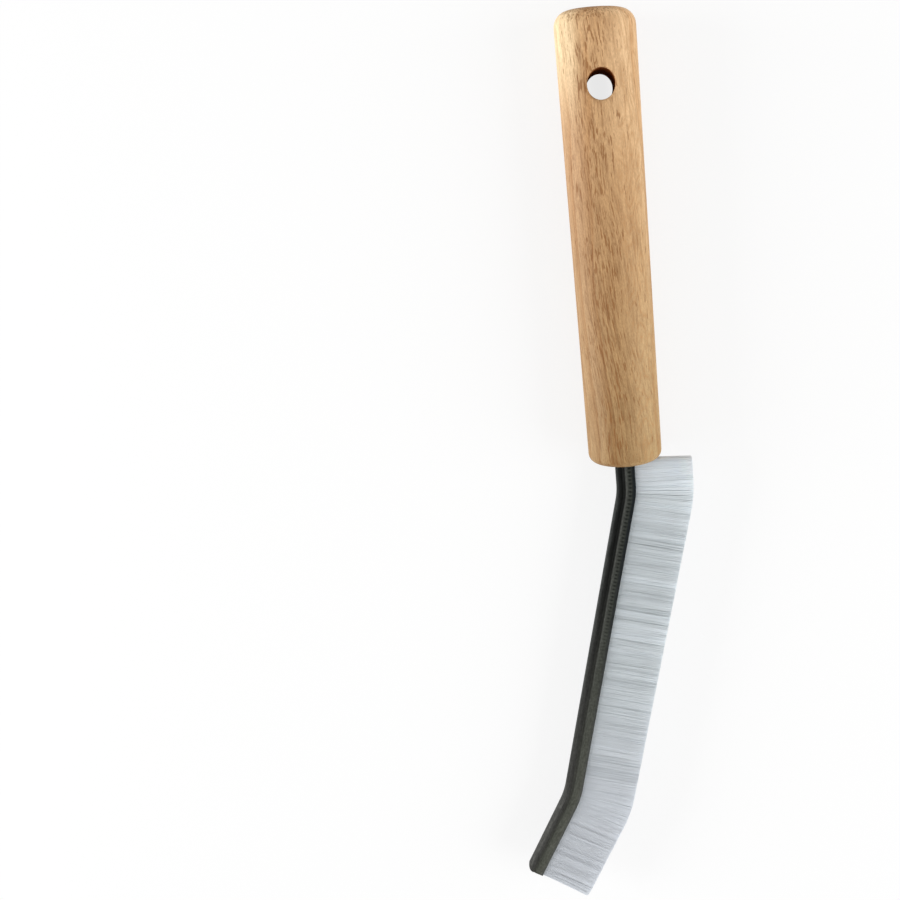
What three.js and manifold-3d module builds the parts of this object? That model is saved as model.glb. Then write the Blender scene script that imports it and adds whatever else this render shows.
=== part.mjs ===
// A hand brush for grout lines: a turned wooden handle holding a twice-bent strip of nylon bristles.
// Millimetres. The brush lies on its side on a table: the handle runs along Y with its butt at +Y,
// the bristles point to +X and +Z is up. The origin is on the table, under the middle of the brush.

import * as THREE from 'three';
import { mergeVertices } from 'three/addons/utils/BufferGeometryUtils.js';
import Module from 'manifold-3d';

// Handle
const HANDLE_LENGTH = 103.1;
const HANDLE_DIAMETER = 18;
const NOSE_TAPER = 0.4;             // diameter that the handle loses towards its nose
const BUTT_ROUNDING = 3.9;
const NOSE_ROUNDING = 2.2;
const HANG_HOLE_DIAMETER = 6.4;
const HANG_HOLE_FROM_BUTT = 16;
const HANG_HOLE_ROUNDING = 0.6;

// Bristle strip: a folded channel round filaments that are folded round a wire
const WIRE_DIAMETER = 0.7;
const FOLD_THICKNESS = 0.35;        // folded filaments on each side of the wire
const STRIP_WALL = 0.6;
const LIP_DEPTH = 2.3;              // from the fold's wire to the channel's open edge
const LIP_RECESS = 0.15;            // how far the lips lie inside the round back
const GROOVE_DEPTH = 0.3;
const GROOVE_WIDTH = 0.5;
const GROOVE_AHEAD_OF_WIRE = 0.5;
const STRIP_SETBACK = 0.3;          // the strip's centre line behind the handle's axis
const TIP_CHAMFER = 1.4;            // back corner of the channel's far end

// The strip's line, from its hidden tang to its tip
const TANG_LENGTH = 24;
const NECK_LENGTH = 6.3;
const FIRST_BEND_ANGLE = 13.4;
const FIRST_BEND_RADIUS = 19;
const MIDDLE_LENGTH = 81.1;
const SECOND_BEND_ANGLE = 14.2;
const SECOND_BEND_RADIUS = 25;
const TIP_LENGTH = 23;

// Bristles
const BRISTLE_LENGTH = 13.9;        // free length past the channel's open edge
const STRAND_DIAMETER = 0.5;
const STRAND_PITCH = 1;
const STRAND_ROWS = 3;
const STRAND_ROOT = 0.5;            // length of a strand inside the fold
const STRAND_FLARE = 1.7;           // spread of the rows at the tips over that at the roots
const STRAND_TWIST = 137.5;         // turn of each strand about its length from the strand before it

// Bond between the tang and the handle's socket
const ADHESIVE_WALL = 0.6;
const ADHESIVE_CAP = 1.5;
const ADHESIVE_RECESS = 0.4;
const DRILL_POINT_ANGLE = 118;

// Clearance between neighbours
const FIT_GAP = 0.25;

// Facets
const HANDLE_SIDES = 48;
const HOLE_SIDES = 28;
const WIRE_SIDES = 8;
const ARC_STEPS = 5;
const BEND_STEPS = 5;
const RIM_STEPS = 2;
const RIM_TURN = 70;                // angle that a rounded rim turns through before it meets the surface
const STRAND_SIDES = 3;
const MERGE_DISTANCE = 1e-4;

const wasm = await Module();
wasm.setup();

const radians = THREE.MathUtils.degToRad;
const vec = (x, y) => new THREE.Vector2(x, y);

// Sizes that follow from the driving dimensions
const handleRadius = HANDLE_DIAMETER / 2;
const buttStart = HANDLE_LENGTH - BUTT_ROUNDING;
const holeRadius = HANG_HOLE_DIAMETER / 2;
const holeY = HANDLE_LENGTH - HANG_HOLE_FROM_BUTT;
const tunnelRadius = WIRE_DIAMETER / 2 + FIT_GAP;
const foldHalf = tunnelRadius + FOLD_THICKNESS;
const cavityHalf = foldHalf + FIT_GAP;
const stripHalf = cavityHalf + STRIP_WALL;
const stripHeight = stripHalf + tunnelRadius + LIP_DEPTH;
const mouth = stripHeight / 2;
const wireAt = stripHalf - mouth;
const tangFit = vec(stripHeight / 2 + FIT_GAP, stripHalf + FIT_GAP);
const adhesiveRadius = tangFit.length() + ADHESIVE_WALL;
const adhesiveTop = TANG_LENGTH + FIT_GAP + ADHESIVE_CAP;
const socketRadius = adhesiveRadius + FIT_GAP;
const socketDepth = adhesiveTop + FIT_GAP;

// Solids from closed meshes, and meshes from solids
function toSolid(geometry) {
  const bare = new THREE.BufferGeometry();
  bare.setAttribute('position', geometry.getAttribute('position').clone());
  bare.setIndex(geometry.getIndex());
  const merged = mergeVertices(bare, MERGE_DISTANCE);
  const corners = merged.getIndex().array;
  const kept = [];
  for (let i = 0; i < corners.length; i += 3) {
    const [a, b, c] = corners.slice(i, i + 3);
    if (a !== b && b !== c && c !== a) kept.push(a, b, c);
  }
  const vertProperties = new Float32Array(merged.getAttribute('position').array);
  return new wasm.Manifold(new wasm.Mesh({ numProp: 3, vertProperties, triVerts: new Uint32Array(kept) }));
}

function toGeometry(solid) {
  const { vertProperties, triVerts } = solid.getMesh();
  const geometry = new THREE.BufferGeometry();
  geometry.setAttribute('position', new THREE.BufferAttribute(new Float32Array(vertProperties), 3));
  geometry.setIndex(new THREE.BufferAttribute(new Uint32Array(triVerts), 1));
  geometry.computeVertexNormals();
  return geometry;
}

// A quarter round in a lathe profile: radius and height of its centre, its size, start and end angles
function roundOff(centre, size, from, to) {
  const points = [];
  for (let i = 0; i <= ARC_STEPS; i += 1) {
    const angle = radians(THREE.MathUtils.lerp(from, to, i / ARC_STEPS));
    points.push(vec(centre.x + size * Math.cos(angle), centre.y + size * Math.sin(angle)));
  }
  return points;
}

// Handle: a straight taper, widest where the butt's rounding starts
function radiusAt(y) {
  return handleRadius - NOSE_TAPER / 2 * (1 - y / buttStart);
}

function turnedHandle() {
  const noseCentre = vec(radiusAt(NOSE_ROUNDING) - NOSE_ROUNDING, NOSE_ROUNDING);
  const buttCentre = vec(handleRadius - BUTT_ROUNDING, buttStart);
  const nose = roundOff(noseCentre, NOSE_ROUNDING, -90, 0);
  const butt = roundOff(buttCentre, BUTT_ROUNDING, 0, 90);
  const profile = [vec(0, 0), ...nose, ...butt, vec(0, HANDLE_LENGTH)];
  return toSolid(new THREE.LatheGeometry(profile, HANDLE_SIDES));
}

// Hanging hole: a bore along Z whose rounded rims follow the handle's round surface
function hangingHole() {
  const surface = radiusAt(holeY);
  const past = surface + HANG_HOLE_ROUNDING;
  const upper = [];
  for (let i = 0; i <= RIM_STEPS; i += 1) {
    const angle = radians(RIM_TURN * i / RIM_STEPS);
    const flare = HANG_HOLE_ROUNDING * (1 - Math.cos(angle));
    upper.push(vec(holeRadius + flare, surface - HANG_HOLE_ROUNDING * (1 - Math.sin(angle))));
  }
  upper.push(vec(holeRadius + 3 * HANG_HOLE_ROUNDING, past), vec(0, past));
  const lower = upper.map((p) => vec(p.x, -p.y)).reverse();
  const bore = new THREE.LatheGeometry([...lower, ...upper], HOLE_SIDES);
  bore.rotateX(Math.PI / 2);
  const points = bore.getAttribute('position');
  for (let i = 0; i < points.count; i += 1) {
    const drop = surface - Math.sqrt(surface ** 2 - points.getX(i) ** 2);
    points.setZ(i, points.getZ(i) - Math.sign(points.getZ(i)) * drop);
  }
  bore.translate(0, holeY, 0);
  return toSolid(bore);
}

// Drilled socket in the nose
function socketBore() {
  const point = socketRadius / Math.tan(radians(DRILL_POINT_ANGLE / 2));
  const profile = [
    vec(0, -FIT_GAP),
    vec(socketRadius, -FIT_GAP),
    vec(socketRadius, socketDepth),
    vec(0, socketDepth + point),
  ];
  const bore = new THREE.LatheGeometry(profile, HANDLE_SIDES);
  bore.translate(-STRIP_SETBACK, 0, 0);
  return toSolid(bore);
}

// Adhesive: a cup that fills the socket round the tang
function socketAdhesive() {
  const height = adhesiveTop - ADHESIVE_RECESS;
  const plug = new THREE.CylinderGeometry(adhesiveRadius, adhesiveRadius, height, HANDLE_SIDES);
  plug.translate(-STRIP_SETBACK, ADHESIVE_RECESS + height / 2, 0);
  const tangRoom = new THREE.BoxGeometry(2 * tangFit.x, 2 * (TANG_LENGTH + FIT_GAP), 2 * tangFit.y);
  tangRoom.translate(-STRIP_SETBACK, 0, 0);
  return toSolid(plug).subtract(toSolid(tangRoom));
}

// The strip's centre line: straight runs and bends in the plane Z = 0, all turning away from the bristles
const bendRun = (angle, radius) => ({ length: radians(angle) * radius, turn: radians(angle) });
const runs = [
  { length: TANG_LENGTH + NECK_LENGTH, turn: 0 },
  bendRun(FIRST_BEND_ANGLE, FIRST_BEND_RADIUS),
  { length: MIDDLE_LENGTH, turn: 0 },
  bendRun(SECOND_BEND_ANGLE, SECOND_BEND_RADIUS),
  { length: TIP_LENGTH, turn: 0 },
];
const runEnds = runs.map((run, i) => runs.slice(0, i + 1).reduce((sum, r) => sum + r.length, 0));
const stripEnd = runEnds.at(-1);

// Where the line is at a distance along it, which way it runs there and which way the bristles point
function place(distance) {
  const point = new THREE.Vector3(-STRIP_SETBACK, TANG_LENGTH, 0);
  let heading = 0;
  let left = distance;
  for (const { length, turn } of runs) {
    const step = Math.min(left, length);
    const next = heading + turn * step / length;
    if (turn === 0) {
      point.x -= step * Math.sin(heading);
      point.y -= step * Math.cos(heading);
    } else {
      point.x += length / turn * (Math.cos(next) - Math.cos(heading));
      point.y -= length / turn * (Math.sin(next) - Math.sin(heading));
    }
    heading = next;
    left -= step;
  }
  const along = new THREE.Vector3(-Math.sin(heading), -Math.cos(heading), 0);
  const out = new THREE.Vector3(Math.cos(heading), -Math.sin(heading), 0);
  return { point, along, out };
}

// A stretch of the line, with stations only at its ends and through the bends
class Stretch extends THREE.Curve {
  constructor(from, to) {
    super();
    const stops = [from, to];
    runs.forEach((run, i) => {
      for (let k = 0; run.turn > 0 && k <= BEND_STEPS; k += 1) {
        const stop = runEnds[i] - run.length * (1 - k / BEND_STEPS);
        if (stop > from + FIT_GAP && stop < to - FIT_GAP) stops.push(stop);
      }
    });
    this.stations = stops.sort((a, b) => a - b).map(place);
    this.steps = this.stations.length - 1;
  }

  getPointAt(u) {
    return this.stations[Math.round(u * this.steps)].point.clone();
  }

  getTangentAt(u) {
    return this.stations[Math.round(u * this.steps)].along.clone();
  }
}

function sweep(section, from, to) {
  const stretch = new Stretch(from, to);
  const options = { steps: stretch.steps, curveSegments: ARC_STEPS, extrudePath: stretch };
  return new THREE.ExtrudeGeometry(section, options);
}

// Sections across the strip: X is its thickness, Y runs from its back to its open edge
function channelSection() {
  const lip = stripHalf - LIP_RECESS;
  const groove = wireAt + GROOVE_AHEAD_OF_WIRE;
  const bulbAngle = Math.asin((GROOVE_AHEAD_OF_WIRE - GROOVE_WIDTH / 2) / stripHalf);
  const section = new THREE.Shape();
  section.moveTo(-lip, mouth);
  section.lineTo(-lip, groove + GROOVE_WIDTH / 2);
  section.lineTo(GROOVE_DEPTH - stripHalf, groove);
  section.absarc(0, wireAt, stripHalf, Math.PI - bulbAngle, 2 * Math.PI + bulbAngle, false);
  section.lineTo(stripHalf - GROOVE_DEPTH, groove);
  section.lineTo(lip, groove + GROOVE_WIDTH / 2);
  section.lineTo(lip, mouth);
  section.lineTo(cavityHalf, mouth);
  section.absarc(0, wireAt, cavityHalf, 0, Math.PI, true);
  section.lineTo(-cavityHalf, mouth);
  return section;
}

function foldSection() {
  const section = new THREE.Shape();
  section.moveTo(foldHalf, mouth);
  section.lineTo(-foldHalf, mouth);
  section.absarc(0, wireAt, foldHalf, Math.PI, 2 * Math.PI, false);
  section.holes.push(wireSection(tunnelRadius));
  return section;
}

function wireSection(radius) {
  const corners = [];
  for (let i = 0; i < WIRE_SIDES; i += 1) {
    const angle = 2 * Math.PI * i / WIRE_SIDES;
    corners.push(vec(radius * Math.cos(angle), wireAt + radius * Math.sin(angle)));
  }
  return new THREE.Shape(corners);
}

// Channel: the folded strip, with the back corner of its far end cut off
function stripChannel() {
  const { point, along, out } = place(stripEnd);
  const slant = along.clone().sub(out).normalize();
  const size = 4 * TIP_CHAMFER;
  const corner = point.clone().addScaledVector(out, -stripHeight / 2);
  const cutter = new THREE.BoxGeometry(size, size, 4 * stripHalf);
  cutter.rotateZ(Math.atan2(slant.y, slant.x));
  const centre = corner.addScaledVector(slant, size / 2 - TIP_CHAMFER / Math.SQRT2);
  cutter.translate(centre.x, centre.y, 0);
  return toSolid(sweep(channelSection(), 0, stripEnd)).subtract(toSolid(cutter));
}

// Strands: straight prisms from inside the fold to the trimmed tips
function strands(from, to) {
  const columns = Math.round((to - from) / STRAND_PITCH);
  const pitch = (to - from) / columns;
  const radius = STRAND_DIAMETER / 2;
  const positions = [];
  const faces = [];
  for (let row = 0; row < STRAND_ROWS; row += 1) {
    const z = foldHalf * ((2 * row + 1) / STRAND_ROWS - 1);
    const stagger = (2 * row + 1 + STRAND_ROWS) / (4 * STRAND_ROWS);
    for (let column = 0; column < columns; column += 1) {
      const { point, along, out } = place(from + pitch * (column + stagger));
      const twist = radians(STRAND_TWIST * (row * columns + column));
      const first = positions.length / 3;
      const ends = [[mouth - STRAND_ROOT, z], [mouth + BRISTLE_LENGTH, z * STRAND_FLARE]];
      for (const [reach, height] of ends) {
        for (let k = 0; k < STRAND_SIDES; k += 1) {
          const angle = twist + 2 * Math.PI * k / STRAND_SIDES;
          const corner = point.clone().addScaledVector(out, reach);
          corner.addScaledVector(along, radius * Math.sin(angle));
          positions.push(corner.x, corner.y, height + radius * Math.cos(angle));
        }
      }
      for (let k = 0; k < STRAND_SIDES; k += 1) {
        const next = (k + 1) % STRAND_SIDES;
        faces.push(first + k, first + next, first + STRAND_SIDES + next);
        faces.push(first + k, first + STRAND_SIDES + next, first + STRAND_SIDES + k);
      }
      for (let k = 2; k < STRAND_SIDES; k += 1) {
        faces.push(first, first + k, first + k - 1);
        faces.push(first + STRAND_SIDES, first + STRAND_SIDES + k - 1, first + STRAND_SIDES + k);
      }
    }
  }
  const geometry = new THREE.BufferGeometry();
  geometry.setAttribute('position', new THREE.Float32BufferAttribute(positions, 3));
  geometry.setIndex(faces);
  return toSolid(geometry);
}

function bristleGroup(from, to) {
  return toSolid(sweep(foldSection(), from, to)).add(strands(from, to));
}

// The brush
const materials = {
  wood: { color: 0xcfa368, roughness: 0.6, metalness: 0 },
  steel: { color: 0x4b4c47, roughness: 0.45, metalness: 0.8 },
  wire: { color: 0x8c8f90, roughness: 0.35, metalness: 1 },
  nylon: { color: 0xd3d8dc, roughness: 0.4, metalness: 0 },
  adhesive: { color: 0xb9a980, roughness: 0.5, metalness: 0 },
};

const brush = new THREE.Group();

function addPiece(name, geometry, material) {
  const mesh = new THREE.Mesh(geometry, new THREE.MeshStandardMaterial(materials[material]));
  mesh.name = name;
  brush.add(mesh);
}

const foldStart = TANG_LENGTH + FIT_GAP;
const foldEnd = stripEnd - TIP_CHAMFER / 2;
const [, firstBendEnd, secondBendStart] = runEnds;
const middle = (firstBendEnd + secondBendStart) / 2;
const groups = [
  ['bristles_neck', foldStart, firstBendEnd - FIT_GAP / 2],
  ['bristles_upper', firstBendEnd + FIT_GAP / 2, middle - FIT_GAP / 2],
  ['bristles_lower', middle + FIT_GAP / 2, secondBendStart - FIT_GAP / 2],
  ['bristles_tip', secondBendStart + FIT_GAP / 2, foldEnd],
];

addPiece('handle', toGeometry(turnedHandle().subtract(hangingHole()).subtract(socketBore())), 'wood');
addPiece('socket_adhesive', toGeometry(socketAdhesive()), 'adhesive');
addPiece('strip_channel', toGeometry(stripChannel()), 'steel');
addPiece('core_wire', sweep(wireSection(WIRE_DIAMETER / 2), 0, foldEnd), 'wire');
groups.forEach(([name, from, to]) => addPiece(name, toGeometry(bristleGroup(from, to)), 'nylon'));

// The origin is on the table, under the middle of the brush
const extent = new THREE.Box3().setFromObject(brush);
const centre = extent.getCenter(new THREE.Vector3());
brush.position.set(-centre.x, -centre.y, -extent.min.z);

export default brush;
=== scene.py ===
import math

import bmesh
import bpy
import numpy as np
from mathutils import Euler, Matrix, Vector


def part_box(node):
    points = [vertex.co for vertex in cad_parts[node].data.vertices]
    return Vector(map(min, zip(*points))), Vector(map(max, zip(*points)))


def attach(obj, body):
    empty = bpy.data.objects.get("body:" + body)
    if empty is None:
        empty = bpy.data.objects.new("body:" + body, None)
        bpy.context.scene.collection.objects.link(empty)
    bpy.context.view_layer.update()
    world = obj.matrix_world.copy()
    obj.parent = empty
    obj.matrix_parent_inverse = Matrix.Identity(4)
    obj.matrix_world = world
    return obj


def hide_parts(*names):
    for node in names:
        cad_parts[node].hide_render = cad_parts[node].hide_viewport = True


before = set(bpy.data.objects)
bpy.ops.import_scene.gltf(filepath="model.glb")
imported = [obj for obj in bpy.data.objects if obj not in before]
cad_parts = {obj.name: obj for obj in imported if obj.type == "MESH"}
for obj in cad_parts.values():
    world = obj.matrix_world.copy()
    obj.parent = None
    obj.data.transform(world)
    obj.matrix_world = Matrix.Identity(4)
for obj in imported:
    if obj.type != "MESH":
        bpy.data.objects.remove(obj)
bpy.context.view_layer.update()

# Sizes are millimetres from the middle of the handle's nose: X to the bristle tips, Y to the butt, Z up
MM = 0.001
handle_low, handle_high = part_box("handle")
handle_middle = (handle_low + handle_high) / 2
NOSE = Vector((handle_middle.x, handle_low.y, handle_middle.z))
SEED = 7

# Handle
HANDLE_LENGTH = (handle_high.y - handle_low.y) / MM
HANDLE_RADIUS = (handle_high.z - handle_low.z) / 2 / MM
NOSE_TAPER = 0.2
BUTT_ROUNDING = 3.5
BUTT_SLANT = math.radians(-3.4)
NOSE_ROUNDING = 2.2
HOLE_Y = HANDLE_LENGTH - 16.0
HOLE_HALF = np.array([3.06, 3.34])
HOLE_FRONT = np.array([0.34, HOLE_Y])
HOLE_BACK = np.array([0.2, HOLE_Y - 0.36])
HOLE_ROUNDING = 0.6
HOLE_WINDOW = 6.0
SOCKET_RADIUS = 4.16
SOCKET_DEPTH = 26.0
SOCKET_CHAMFER = 0.3
DRILL_POINT = math.radians(118)

# Faces of the handle: columns round it, rows along it, and rings on its ends and round its hole
SIDES = 96
FRONT_COLUMN = SIDES // 4
BACK_COLUMN = 3 * SIDES // 4
WINDOW_COLUMNS = 12
BARREL_ROWS = 24
WINDOW_ROWS = 20
BUTT_ROWS = 4
FILLET_ROWS = 10
SOCKET_ROWS = 7
WINDOW_RINGS = 6
RIM_RINGS = 7
BORE_RINGS = 6
BUTT_RINGS = (0.75, 0.5, 0.25)
NOSE_RINGS = (0.33, 0.67, 1.0)

# Grain of the wood: pith, growth bands, lean, darker band, side and reach of a painted highlight at the
# butt with painted shade on that side below it, curls and end grain
PITH = (-9.0, 0.0, -30.0)
YEAR_RING = 3.2
GRAIN_LEAN = 0.09
BAND_AT = 0.8
BAND_CORE = 0.5
BAND_HALF = 6.6
PAINTED_LIGHT_SIDE = (-4.0, 0.5)
PAINTED_LIGHT_REACH = (74.0, 97.0)
CURL_SIDE = (4.0, 7.5)
CURLS = 6.0
END_GRAIN = (0.9, 0.1)

# Strip channel
WALL = 0.6
CAVITY_HALF = 1.2
BULB_RADIUS = CAVITY_HALF + WALL
LIP_HALF = BULB_RADIUS - 0.15
LIP_EDGE = 0.22
MOUTH = 2.35
MOUTH_CHAMFER = (0.12, 0.08)
WIRE_AT = BULB_RADIUS - MOUTH
WIRE_RADIUS = 0.35
WIRE_RECESS = 0.45
WIRE_STEP = 1.0
GROOVE_AT = WIRE_AT + 0.3
GROOVE_HALF = 0.62
GROOVE_DEPTH = 0.2
STRIP_SETBACK = 0.3
TIP_ROUNDING = 1.7
END_BEVEL = 0.12
CRIMP_PITCH = 1.0
CRIMP_AT = 0.95
CRIMP_HALF = 0.62
CRIMP_DEPTH = 0.24
CRIMP_CURVE = 0.7
CRIMP_FADE = ([0.0, 0.3, 0.52], [1.0, 0.85, 0.1])
CRIMP_OUTSIDE = CAVITY_HALF + 0.1

# Points on each part of the strip's sections, and sections for each dimple
EDGE_POINTS = 5
LIP_POINTS = 12
GROOVE_POINTS = 8
BULB_POINTS = 16
CAVITY_POINTS = 9
FOLD_POINTS = 13
WIRE_SIDES = 16
CRIMP_STEPS = 7

# The strip's line from its tang to its tip: bends as turn and radius, runs as length and turn
TANG_LENGTH = 24.0
NECK_LENGTH = 6.3
FIRST_BEND = (math.radians(13.4), 19.0)
MIDDLE_LENGTH = 81.1
SECOND_BEND = (math.radians(14.2), 25.0)
TIP_LENGTH = 23.25
RUNS = [
    (TANG_LENGTH + NECK_LENGTH, 0.0),
    (FIRST_BEND[0] * FIRST_BEND[1], FIRST_BEND[0]),
    (MIDDLE_LENGTH, 0.0),
    (SECOND_BEND[0] * SECOND_BEND[1], SECOND_BEND[0]),
    (TIP_LENGTH, 0.0),
]
RUN_ENDS = np.cumsum([length for length, turn in RUNS])
STRIP_END = RUN_ENDS[-1]
FINE_START = TANG_LENGTH - 1.0

# Bristles
BRISTLE_LENGTH = 13.9
STRAND_RADIUS = 0.11
STRAND_TAPER = 0.92
STRAND_PITCH = 0.2
STRAND_ROWS = 10
STRAND_ROOT = 0.9
STRAND_FLARE = 1.2
STRAND_GAP = 0.03
STRAND_SIDES = 4
STRAND_STOPS = (0.0, 0.1, 0.4, 0.7, 1.0)
FIRST_FOOT = TANG_LENGTH + 0.12
LAST_FOOT = STRIP_END + 0.1
TOP_LEAN = 0.7
TOP_LEAN_LENGTH = 6.0
END_LEAN = 0.9
END_LEAN_LENGTH = 5.0
LEAN_CURVE = 1.3
SWAY_CURVE = 1.5
CORNER_LENGTH = 1.0
CORNER_CUT = 0.7
FAN_FILL = 0.7
FOLD_START = TANG_LENGTH + 0.3
FOLD_END = STRIP_END - 0.7
FOLD_GAP = 0.04
FOLD_RECESS = (0.35, 0.2)

# How strands stray: by broad clumps, by fine clumps and each by itself, and less near both ends
CLUMP_WIDTH = (0.6, 2.6)
FINE_WIDTH = (0.3, 1.2)
CLUMP_DRAW = 0.015
LEAN_STRAY = (0.06, 0.06, 0.03)
SWAY_STRAY = (0.04, 0.03, 0.03)
TONE_STRAY = (0.12, 0.06, 0.04)
FOOT_STRAY = 0.25
DEPTH_STRAY = 0.02
REACH_STRAY = 0.06
BOW_STRAY = 0.03
CALM_STOPS = (FIRST_FOOT, RUN_ENDS[1] + 4, RUN_ENDS[2] - 6, RUN_ENDS[3])
CALM_SHARES = (0.5, 1.0, 1.0, 0.35)

# Tones of the strands, from 0 (dark) to 1 (pale), painted light on the first strands below the handle's
# nose, and where along Y the tip's tint fades out
MEAN_TONE = 0.53
NECK_PAINTED_LIGHT = 0.6
NECK_PAINTED_LIGHT_LENGTH = 17.0
FOLD_TONE = 0.3
TINT_REACH = (-110.0, -50.0)

# Cells of the strands' texture map: shape, bare edge, caps and the band for the folded roots
CELL_SHAPE = 11.0
CELL_EDGE = 0.04
CELL_CAP = 0.1
CAP_HALF = 0.35
FOLD_BAND = 0.05

# Adhesive in the socket's mouth
ADHESIVE_RECESS = 0.4
ADHESIVE_TOP = SOCKET_DEPTH - 0.25
ADHESIVE_CLIMB = 0.75
ADHESIVE_BITE = (0.05, 0.1)
ADHESIVE_SQUARENESS = 6
ADHESIVE_RINGS = 9

# Camera, as the photograph was taken
CAMERA_PLACE = Vector((-6.784, 73.865, 253.068))
CAMERA_TURN = Euler([math.radians(a) for a in (-15.734, 6.364, -6.389)])
CAMERA_NEAR = 10.0
LENS = 42.525
SENSOR = 36.0

# Lamps as place, size and power in metres and watts, then the world's light and the floor
KEY_LAMP = ((-0.8, 0.08, 0.3), 0.5, 5.7)
FILL_LAMP = ((0.7, -0.12, 0.44), 0.6, 4.6)
WORLD_LIGHT = 0.5
WORLD_SEEN = 1.0
FLOOR_HALF = 4.0
FLOOR_TONE = 0.8
FLOOR_TONE_SEEN = 0.2
FLOOR_GLOW = (0.785, 1.0)
FLOOR_GLOW_REACH = (200.0, 700.0)


# Meshes
class Shell:
    """Points in millimetres and the faces between them."""

    def __init__(self):
        self.points = []
        self.faces = []

    def ring(self, points):
        first = len(self.points)
        self.points.extend(tuple(p) for p in points)
        return list(range(first, len(self.points)))

    def bridge(self, one, other):
        for i in range(len(one)):
            j = (i + 1) % len(one)
            self.faces.append((one[i], one[j], other[j], other[i]))

    def stack(self, rings):
        for one, other in zip(rings, rings[1:]):
            self.bridge(one, other)

    def fan(self, ring, point):
        top = len(self.points)
        self.points.append(tuple(point))
        for i in range(len(ring)):
            self.faces.append((ring[i], ring[(i + 1) % len(ring)], top))


def add_piece(name, shell, material, sharp=None):
    mesh = bpy.data.meshes.new(name)
    points = np.array(shell.points) * MM + np.array(NOSE)
    mesh.from_pydata(points.tolist(), [], shell.faces)
    work = bmesh.new()
    work.from_mesh(mesh)
    bmesh.ops.recalc_face_normals(work, faces=work.faces)
    work.to_mesh(mesh)
    work.free()
    mesh.shade_smooth()
    if sharp:
        mesh.set_sharp_from_angle(angle=math.radians(sharp))
    mesh.materials.append(material)
    piece = bpy.data.objects.new(name, mesh)
    bpy.context.scene.collection.objects.link(piece)
    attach(piece, "root")
    return piece


def keep_values(piece, name, values):
    """Stores one number or one vector for each point of a piece, for its material to read."""
    values = np.asarray(values, np.float32)
    kind, field = ("FLOAT", "value") if values.ndim == 1 else ("FLOAT_VECTOR", "vector")
    layer = piece.data.attributes.new(name, kind, "POINT")
    layer.data.foreach_set(field, values.ravel())


# Node materials
class Nodes:
    """A node tree and short ways to add nodes to it."""

    def __init__(self, tree):
        self.tree = tree

    def add(self, kind, inputs=None, **settings):
        node = self.tree.nodes.new("ShaderNode" + kind)
        for key, value in settings.items():
            setattr(node, key, value)
        for socket, value in (inputs or {}).items():
            if isinstance(value, bpy.types.NodeSocket):
                self.tree.links.new(value, node.inputs[socket])
            else:
                node.inputs[socket].default_value = value
        return node

    def place(self):
        """Millimetres from the middle of the handle's nose."""
        spot = self.add("TexCoord").outputs["Object"]
        from_nose = self.add("VectorMath", {0: spot, 1: NOSE}, operation="SUBTRACT").outputs[0]
        return self.add("VectorMath", {0: from_nose, "Scale": 1 / MM}, operation="SCALE").outputs[0]

    def kept(self, name, output="Fac"):
        return self.add("Attribute", attribute_name=name).outputs[output]

    def vector(self, operation, one, other):
        return self.add("VectorMath", {0: one, 1: other}, operation=operation).outputs[0]

    def moved(self, vector, by, scale):
        return self.add("VectorMath", {0: by, 1: scale, 2: vector}, operation="MULTIPLY_ADD").outputs[0]

    def math(self, operation, one, other=0.0):
        return self.add("Math", {0: one, 1: other}, operation=operation).outputs[0]

    def parts(self, vector):
        return self.add("SeparateXYZ", {0: vector}).outputs

    def noise(self, vector, scales, detail, roughness=0.5, output="Fac"):
        """Noise with its own scale along each axis."""
        scaled = self.vector("MULTIPLY", vector, scales)
        inputs = {"Vector": scaled, "Scale": 1.0, "Detail": detail, "Roughness": roughness}
        return self.add("TexNoise", inputs).outputs[output]

    def cells(self, vector, scale):
        return self.add("TexVoronoi", {"Vector": vector, "Scale": scale}).outputs["Distance"]

    def span(self, value, low, high, to_low=0.0, to_high=1.0):
        inputs = {"Value": value, "From Min": low, "From Max": high, "To Min": to_low, "To Max": to_high}
        return self.add("MapRange", inputs, interpolation_type="SMOOTHSTEP").outputs["Result"]

    def ramp(self, value, stops):
        node = self.add("ValToRGB", {0: value})
        elements = node.color_ramp.elements
        while len(elements) < len(stops):
            elements.new(1.0)
        for element, (spot, colour) in zip(elements, stops):
            element.position = spot
            element.color = (*colour, 1.0)
        return node.outputs["Color"]

    def mix(self, share, one, other, blend="MIX"):
        inputs = {0: share, 6: one, 7: other}
        return self.add("Mix", inputs, data_type="RGBA", blend_type=blend).outputs[2]


class Paint(Nodes):
    """A material and the nodes that drive its shader."""

    def __init__(self, name, **constants):
        self.material = bpy.data.materials.new(name)
        self.material.use_nodes = True
        super().__init__(self.material.node_tree)
        self.shader = self.tree.nodes["Principled BSDF"]
        for socket, value in constants.items():
            self.shader.inputs[socket.replace("_", " ")].default_value = value

    def drive(self, socket, value):
        self.tree.links.new(value, self.shader.inputs[socket])

    def bump(self, height, strength, distance):
        inputs = {"Height": height, "Strength": strength, "Distance": distance * MM}
        self.drive("Normal", self.add("Bump", inputs).outputs[0])


def srgb(red, green, blue):
    """Linear colour of three screen values from 0 to 255."""
    shares = [v / 255 for v in (red, green, blue)]
    return tuple(v / 12.92 if v <= 0.04045 else ((v + 0.055) / 1.055) ** 2.4 for v in shares)


def opaque(colour):
    return (*colour, 1.0)


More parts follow.
